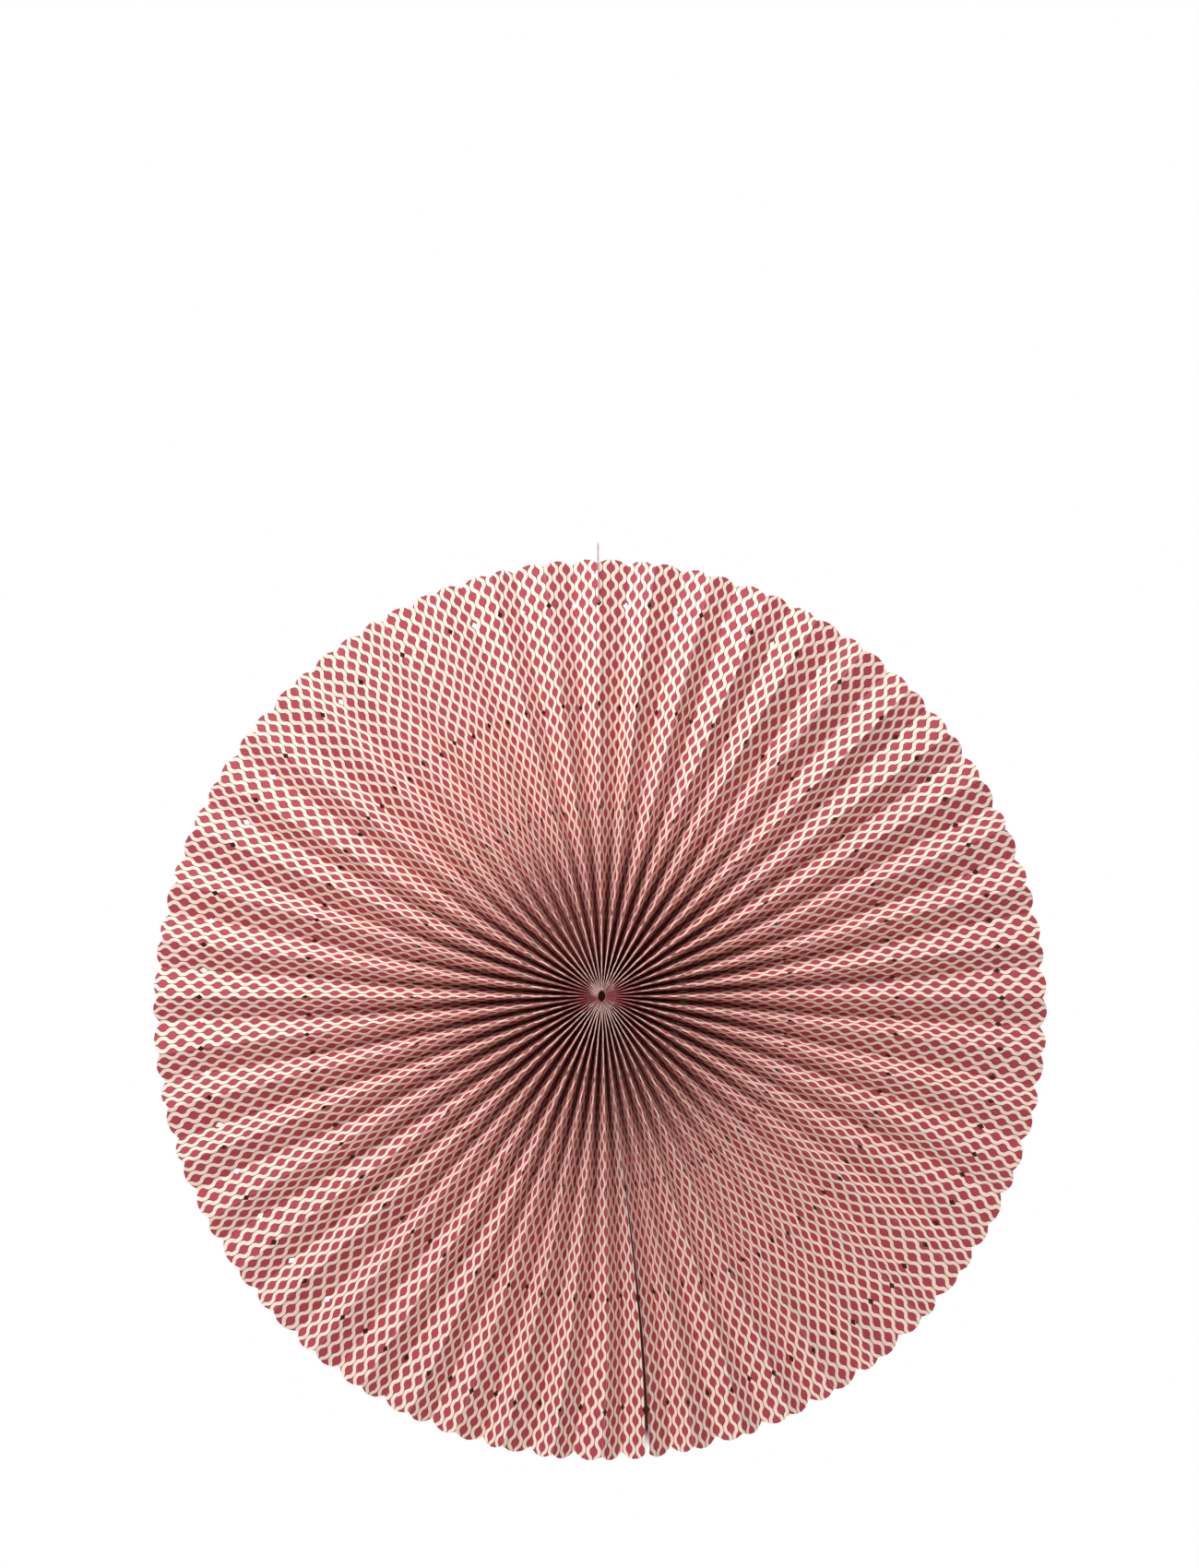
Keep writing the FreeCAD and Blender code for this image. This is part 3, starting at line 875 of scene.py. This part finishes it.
def add_gathering_thread(material):
    """Thread drawn through the notches of the back folds round the hub, and knotted above it."""
    lift = GATHER_THREAD_CLEARANCE + GATHER_THREAD_WIDTH / 2
    corners = []
    for fold in range(1, PANEL_COUNT, 2):
        bearing = float(fold_bearing(fold, GATHER_RADIUS))
        back = float(fold_depth(fold, GATHER_RADIUS)) / 2 + PAPER / 2 - lift
        place = Vector((GATHER_RADIUS * math.sin(bearing), back, GATHER_RADIUS * math.cos(bearing)))
        corners.append(place * MM)
    ring = nurbs_line(corners, FINE_STEPS, True)
    width = GATHER_THREAD_WIDTH * MM
    thread = twisted_thread("gathering_thread_ring", ring, width, material, True)
    knot_place = corners[len(corners) // 2] + Vector((0, GATHER_KNOT_BEHIND, 0)) * MM
    knot = overhand_knot("gathering_knot", knot_place, GATHER_KNOT_THREAD * MM, material)
    knot.parent = thread
    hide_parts("gathering_thread")
    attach(thread, "root")


def add_sheet(name, mesh, node, printed, plain):
    piece = bpy.data.objects.new(name, mesh)
    mesh.materials.append(printed)
    mesh.materials.append(plain)
    bpy.context.collection.objects.link(piece)
    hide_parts(node)
    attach(piece, "root")


# Surroundings, in metres

PALE = srgb(242, 241, 239)
PAINTED_WALL_SHADOW = srgb(92, 36, 30)    # painted shadow on the wall behind the fan, which the holes of the fan show
WALL_Y = 0.0125
WALL_CLEAR = (0.284, 0.302)      # distances from the hub that fade to the white background
FLOOR_Z = -0.62
FLOOR_CLEAR = (0.2, 0.5)
REACH = 3.0                      # half width of the floor and the wall


def backdrop_surface(m, shader, clear_from, shade):
    """White to the camera and pale to the light. Near the middle it shows the colour shade instead,
    which on the wall is a painted shadow.
    """
    shader.inputs["Roughness"].default_value = 0.9
    distance = m.node("ShaderNodeVectorMath", operation="LENGTH")
    m.link(m.object_place(), distance.inputs[0])
    clear = m.ramp(distance.outputs["Value"], *clear_from)
    m.link(m.mix(clear, shade, PALE), shader.inputs["Base Color"])
    return m.mix_shader(m.times(m.seen_directly(), clear), shader.outputs[0], m.white())


def open_from_behind(m, front, hidden):
    """Shows a surface from its front alone, and not at all to the rays that are hidden from it."""
    backfacing = m.node("ShaderNodeNewGeometry").outputs["Backfacing"]
    clear = m.node("ShaderNodeBsdfTransparent").outputs[0]
    return m.mix_shader(m.math("MAXIMUM", backfacing, hidden), front, clear)


def add_stage(name, corners, surface, material, place=(0, 0, 0)):
    """Squares that belong to the stage and not to the object."""
    outlet = material.node_tree.nodes["Material Output"]
    material.node_tree.links.new(surface, outlet.inputs["Surface"])
    mesh = bpy.data.meshes.new(name)
    faces = [tuple(range(first, first + 4)) for first in range(0, len(corners), 4)]
    mesh.from_pydata(corners, [], faces)
    mesh.materials.append(material)
    piece = bpy.data.objects.new(name, mesh)
    piece.location = place
    bpy.context.collection.objects.link(piece)
    piece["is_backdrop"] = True


def add_wall():
    material, m, shader = new_material("pale_wall_painted_shadow")
    # The wall is darkened behind the fan as a painted shadow, which the fan's holes and seam show
    front = backdrop_surface(m, shader, WALL_CLEAR, PAINTED_WALL_SHADOW)
    shadow = m.node("ShaderNodeLightPath").outputs["Is Shadow Ray"]
    surface = open_from_behind(m, front, shadow)
    corners = [(-REACH, 0, FLOOR_Z), (REACH, 0, FLOOR_Z), (REACH, 0, REACH), (-REACH, 0, REACH)]
    add_stage("wall", corners, surface, material, (0, WALL_Y, 0))


def add_floor():
    material, m, shader = new_material("pale_floor")
    surface = backdrop_surface(m, shader, FLOOR_CLEAR, PALE)
    corners = [(-REACH, -REACH, 0), (REACH, -REACH, 0), (REACH, REACH, 0), (-REACH, REACH, 0)]
    add_stage("floor", corners, surface, material, (0, 0, FLOOR_Z))


LIT_HOLES = (-140.0, 48.0)       # bearings between which light shows through the back folds' holes
CARD_BEHIND = 1.0                # millimetres behind the fold
CARD_HALF_WIDTH = 3.6


def add_lit_cards():
    """White cards behind the outermost holes of the back folds, seen by the camera alone."""
    material, m, _ = new_material("lit_card")
    camera_ray = m.node("ShaderNodeLightPath").outputs["Is Camera Ray"]
    surface = open_from_behind(m, m.white(), m.math("SUBTRACT", 1.0, camera_ray))
    ring = HOLE_RINGS[-1]
    corners = []
    for fold in range(1, PANEL_COUNT, 2):
        bearing = float(fold_bearing(fold, ring))
        if LIT_HOLES[0] < math.degrees(bearing) - 360 < LIT_HOLES[1]:
            back = float(fold_depth(fold, ring)) / 2 + CARD_BEHIND
            middle = Vector((ring * math.sin(bearing), back, ring * math.cos(bearing)))
            for east, up in ((-1, -1), (1, -1), (1, 1), (-1, 1)):
                corners.append((middle + Vector((east, 0, up)) * CARD_HALF_WIDTH) * MM)
    add_stage("lit_cards", corners, surface, material)


# Name, place in metres, size in metres, power in watts and colour
LAMPS = (
    ("key", (-0.43, -0.86, 0.92), 0.55, 15.4, (1, 1, 1)),
    ("front_fill", (-0.15, -0.8, 0.35), 0.5, 1.4, (1, 1, 1)),
    ("warm_fill", (-0.2, -1.0, -1.0), 0.8, 3.6, (1, 0.25, 0.18)),
    ("back_fill", (0.9, 1.6, 1.0), 1.2, 28, (1, 1, 1)),
)
AMBIENT = (1, 0.43, 0.35, 1)
AMBIENT_STRENGTH = 0.15


def add_lamps():
    for name, place, size, power, colour in LAMPS:
        data = bpy.data.lights.new(name, "AREA")
        data.size = size
        data.energy = power
        data.color = colour
        lamp = bpy.data.objects.new(name, data)
        lamp.location = place
        lamp.rotation_euler = Vector(place).to_track_quat("Z", "Y").to_euler()
        bpy.context.collection.objects.link(lamp)


def add_world():
    """Faint warm light from all round, with a white background."""
    world = bpy.data.worlds.new("world")
    bpy.context.scene.world = world
    world.use_nodes = True
    m = Maths(world)
    ambient = m.nodes["Background"]
    ambient.inputs["Color"].default_value = AMBIENT
    ambient.inputs["Strength"].default_value = AMBIENT_STRENGTH
    white = m.node("ShaderNodeBackground")
    white.inputs["Color"].default_value = (1, 1, 1, 1)
    white.inputs["Strength"].default_value = 1.0
    surface = m.mix_shader(m.seen_directly(), ambient.outputs[0], white.outputs[0])
    m.link(surface, m.nodes["World Output"].inputs["Surface"])


MAUVE = (srgb(214, 178, 196), srgb(176, 128, 152))
COTTON = (srgb(236, 226, 208), srgb(206, 190, 166))

add_camera()
add_hanging_thread(thread_material("mauve_thread", *MAUVE))
add_gathering_thread(thread_material("cotton_thread", *COTTON))
plain = plain_paper()
long_print = printed_paper("long_print", (0.0, 0.0))
short_print = printed_paper("short_print", SHORT_PRINT_SHIFT)
add_sheet("long_folded_sheet", long_sheet(), "long_pleated_sheet", long_print, plain)
add_sheet("short_folded_sheet", short_sheet(), "short_pleated_sheet", short_print, plain)
add_wall()
add_floor()
add_lit_cards()
add_lamps()
add_world()
bpy.context.scene.view_settings.view_transform = "Standard"

[[list(corner) for corner in box] for box in (cad_box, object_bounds())]
